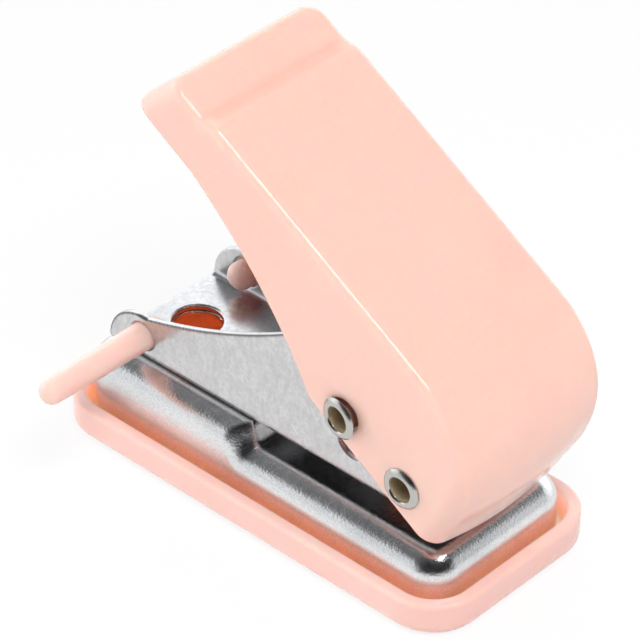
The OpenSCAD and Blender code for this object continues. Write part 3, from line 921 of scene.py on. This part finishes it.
def make_tray():
    tray = field_piece("tray_moulding", tray_field, TRAY_LOW, TRAY_HIGH, TRAY_STEP)
    x, y, z = points_of(tray)
    # Painted glow and deeper painted colour inside the tray, for light that comes through its wall
    under_pan = pan_outline(x, y) < -PAN_SHEET / 2
    depth = TRAY_HIGH[2] - z
    inside = smooth(-tray_outline(x, y), TRAY_WALL - POCKET_EDGE, TRAY_WALL) * smooth(depth, 0, POCKET_RIM)
    deep = smooth(depth, 0, GAP_FADE)
    gap_glow = GAP_GLOW + (GAP_FOOT_GLOW - GAP_GLOW) * deep
    paint(tray, "pocket", inside * np.where(under_pan, 1, GAP_SHADE * deep))
    paint(tray, "glow", inside * np.where(under_pan, CHAMBER_GLOW, gap_glow))
    dress(tray, TRAY_PINK, "tray", "pink_plastic", "chip_tray")


def make_pan():
    pan = field_piece("pan_pressing", pan_field, PAN_LOW, PAN_HIGH, PAN_STEP)
    dress(pan, PAN, "base", "bright_pan", "base_pan")


def make_channel():
    channel = field_piece("channel_sheet", channel_field, CHANNEL_LOW, CHANNEL_HIGH, CHANNEL_STEP)
    x, y, z = points_of(channel)
    low, half = CHANNEL_LOW[2], CHANNEL_HIGH[1]
    # Painted shade on the underside of the web
    below = smooth(-z, -low - SHEET / 2, -low - SHEET / 4) * (np.abs(y) < half - BEND)
    paint(channel, "underside", UNDERSIDE_SHADE * below)
    # Darker line along the cut edge of the walls
    depth = -channel_walls(x, z)
    begins = smooth(depth, EDGE_LINE_FROM - EDGE_LINE_SOFT, EDGE_LINE_FROM)
    ends = smooth(depth, EDGE_LINE_TO, EDGE_LINE_TO + EDGE_LINE_SOFT)
    outside = smooth(np.abs(y), half - SHEET / 4, half - SHEET / 8)
    paint(channel, "dark_edge_line", outside * begins * (1 - ends))
    dress(channel, STEEL, "base", "steel_sheet", "frame")


def make_handle():
    low = (-REACH, -HANDLE_HALF, -SKIRT - SKIRT_FALL)
    high = (NOSE_REACH, HANDLE_HALF, RISE)
    place = Matrix.Translation(Vector(PIVOT)) @ Matrix.Rotation(OPEN_ANGLE, 4, "Y")
    handle = field_piece("handle_moulding", handle_field, low, high, HANDLE_STEP, place)
    level = place.inverted()
    x, y, z = np.array([level @ (v.co / MM) for v in handle.data.vertices]).T
    # Painted shade in the hollow under the thumb pad
    valley = (x + REACH - GRIP_LEAN - PAD_LENGTH - PAD_SLOPE / 3) / VALLEY_WIDTH
    across = smooth(-np.abs(y), -HANDLE_HALF + CREASE_ROUND, -HANDLE_HALF + 3 * CREASE_ROUND)
    paint(handle, "valley", np.exp(-valley ** 2) * across * (z > RISE - WALL))
    dress(handle, PINK, "lever", "pink_plastic", "handle")


def make_rivets():
    pivot = turned("pivot_eyelet", rivet_profile(PIVOT_OUT), PIVOT, RIVET_SIDES)
    dress(pivot, NICKEL, "base", "nickel", "pivot_rivet")
    drive = turned("drive_eyelet", rivet_profile(DRIVE_OUT), (DRIVE_X, 0, DRIVE_Z), RIVET_SIDES)
    under = DRIVE_OUT - FLANGE_T
    for vertex in drive.data.vertices:
        share = smooth(-vertex.co.y / MM, under - ROLL_DEPTH, under)
        vertex.co.y -= share * math.tan(DRIVE_FLANGE_TILT) * vertex.co.x
    dress(drive, NICKEL, "lever", "nickel", "drive_rivet")


def make_pegs():
    right = peg_profile()
    left = [(r, -h) for r, h in reversed(right)]
    for side, profile in (("left", left), ("right", right)):
        peg = turned(f"{side}_peg", profile, (PEG_X, 0, PEG_Z), PEG_SIDES, poles=True)
        dress(peg, PEG_PINK, "base", "pink_plastic", f"{side}_side_peg")


def make_spring():
    spring = tube("spring_coil", spring_path(), WIRE_R, WIRE_SIDES)
    dress(spring, TOOL, "base", "tool_steel", "return_spring")
    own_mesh(spring)


def dress_nodes():
    """Gives the CAD nodes that stay their materials."""
    kept = {"punch_pin": TOOL, "die_ring": TOOL, "guide_bush": NICKEL, "base_rivets": STEEL}
    for node, material in kept.items():
        data = frame["nodes"][node].data
        data.materials.clear()
        data.materials.append(material)


# Studio

def make_floor():
    corners = [(x * FLOOR_HALF, y * FLOOR_HALF, 0) for x, y in ((-1, -1), (1, -1), (1, 1), (-1, 1))]
    mesh = bpy.data.meshes.new("floor")
    mesh.from_pydata(corners, [], [(0, 1, 2, 3)])
    mesh.materials.append(pale_floor())
    floor = bpy.data.objects.new("floor", mesh)
    bpy.context.scene.collection.objects.link(floor)


def sky_level(node, direction, way):
    """Strength of the surround, which falls along a way."""
    ahead = node("VectorMath", {0: direction, 1: way}, operation="DOT_PRODUCT").outputs["Value"]
    span = {"From Min": REAR_SHARE, "From Max": FRONT_SHARE, "To Min": REAR_LEVEL, "To Max": FRONT_LEVEL}
    return node("MapRange", {"Value": ahead, **span}).outputs["Result"]


def make_world():
    """Soft surround, white towards the horizon and dark overhead.

    It is stronger behind the object than in front of it, and for gloss also stronger on the far side.
    """
    world = bpy.data.worlds.new("studio")
    world.use_nodes = True
    bpy.context.scene.world = world
    tree = world.node_tree
    node = node_maker(tree)
    direction = node("TexCoord").outputs["Generated"]
    height = node("VectorMath", {0: direction, 1: SKY_UP}, operation="DOT_PRODUCT").outputs["Value"]
    sky = ramp(node, height, (SKY_PALE_TO, SKY_PALE), (SKY_DARK_FROM, SKY_DARK))
    matt = sky_level(node, direction, MATT_WAY)
    gloss = sky_level(node, direction, GLOSS_WAY)
    is_gloss = node("LightPath").outputs["Is Glossy Ray"]
    strength = node("Mix", {"Factor": is_gloss, "A": matt, "B": gloss}).outputs["Result"]
    background = tree.nodes["Background"].inputs
    tree.links.new(strength, background["Strength"])
    tree.links.new(sky, background["Color"])


def make_lamp(name, direction, distance, size, power, colour=WHITE, gloss_only=False):
    """Square soft box that faces the object from a direction, for matt light or for gloss only."""
    data = bpy.data.lights.new(name, "AREA")
    data.size = size
    data.energy = power
    data.color = colour
    lamp = bpy.data.objects.new(name, data)
    lamp.visible_glossy = gloss_only
    lamp.visible_diffuse = not gloss_only
    way = Vector(direction).normalized()
    lamp.location = LAMP_AIM + way * distance
    lamp.rotation_euler = way.to_track_quat("Z", "Y").to_euler()
    bpy.context.scene.collection.objects.link(lamp)


def make_camera():
    """Camera at the photo's viewing angle."""
    back = Vector((math.sin(AZIMUTH) * math.cos(ELEVATION), -math.cos(AZIMUTH) * math.cos(ELEVATION),
                   math.sin(ELEVATION)))
    right = Vector((math.cos(AZIMUTH), math.sin(AZIMUTH), 0))
    up = back.cross(right)
    data = bpy.data.cameras.new("camera")
    data.sensor_width = SENSOR
    data.lens = SENSOR * FOCAL_PIXELS / IMAGE_SIZE
    data.clip_start = 0.01
    camera = bpy.data.objects.new("camera", data)
    camera.location = (right * AIM_RIGHT + up * AIM_UP + back * CAMERA_DISTANCE) * MM
    camera.rotation_euler = Matrix((right, up, back)).transposed().to_euler()
    bpy.context.scene.collection.objects.link(camera)
    bpy.context.scene.camera = camera


make_tray()
make_pan()
make_channel()
make_handle()
make_rivets()
make_pegs()
make_spring()
dress_nodes()
make_floor()
make_world()
make_lamp("key", (0.43, -0.2, 0.88), distance=0.8, size=0.36, power=5.4)
make_lamp("glint", (0.37, 0.08, 0.92), distance=0.8, size=0.36, power=3.4, gloss_only=True)
make_lamp("near", (-0.25, -0.9, 0.3), distance=0.9, size=0.5, power=0.8, colour=COOL)
make_lamp("front", (0.9, 0.2, 0.05), distance=0.9, size=0.5, power=0.65, colour=ROSY)
make_lamp("left", (-0.93, -0.35, 0.12), distance=0.9, size=0.5, power=2.5, colour=COOL)
make_camera()
bpy.context.scene.view_settings.view_transform = "Standard"
